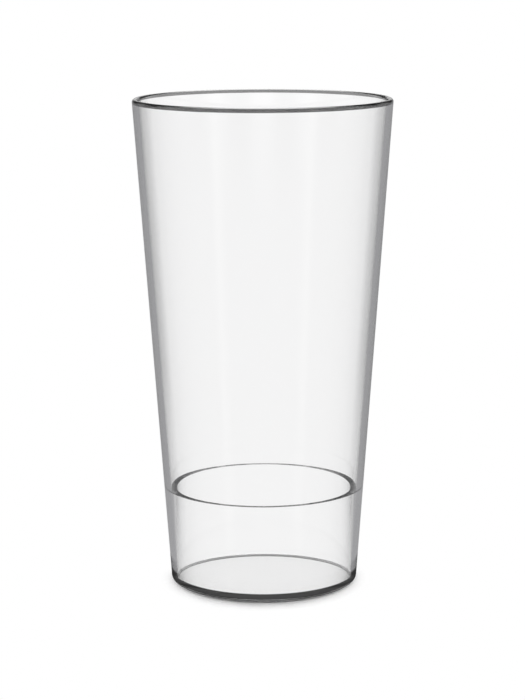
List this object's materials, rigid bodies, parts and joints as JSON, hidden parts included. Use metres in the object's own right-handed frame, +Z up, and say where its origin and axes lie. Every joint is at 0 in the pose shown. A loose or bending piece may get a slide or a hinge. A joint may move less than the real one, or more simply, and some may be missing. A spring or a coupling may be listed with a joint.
{
  "type": "pilsner glass",
  "caption": "Tall clear drinking glass with a straight tapered wall, a rounded lip, an inner ledge that a second glass stacks on, and a flat foot.",
  "frame": {"origin": "centre of the foot, on the surface that the glass stands on", "axes": "+Z up along the axis of the glass; the glass is round about Z, so X and Y are free"},
  "size_m": [0.0848, 0.0848, 0.1605],
  "materials": {
    "clear_plastic": "gloss, clear"
  },
  "bodies": {
    "root": {"glass_body": "clear_plastic"}
  },
  "joints": []
}
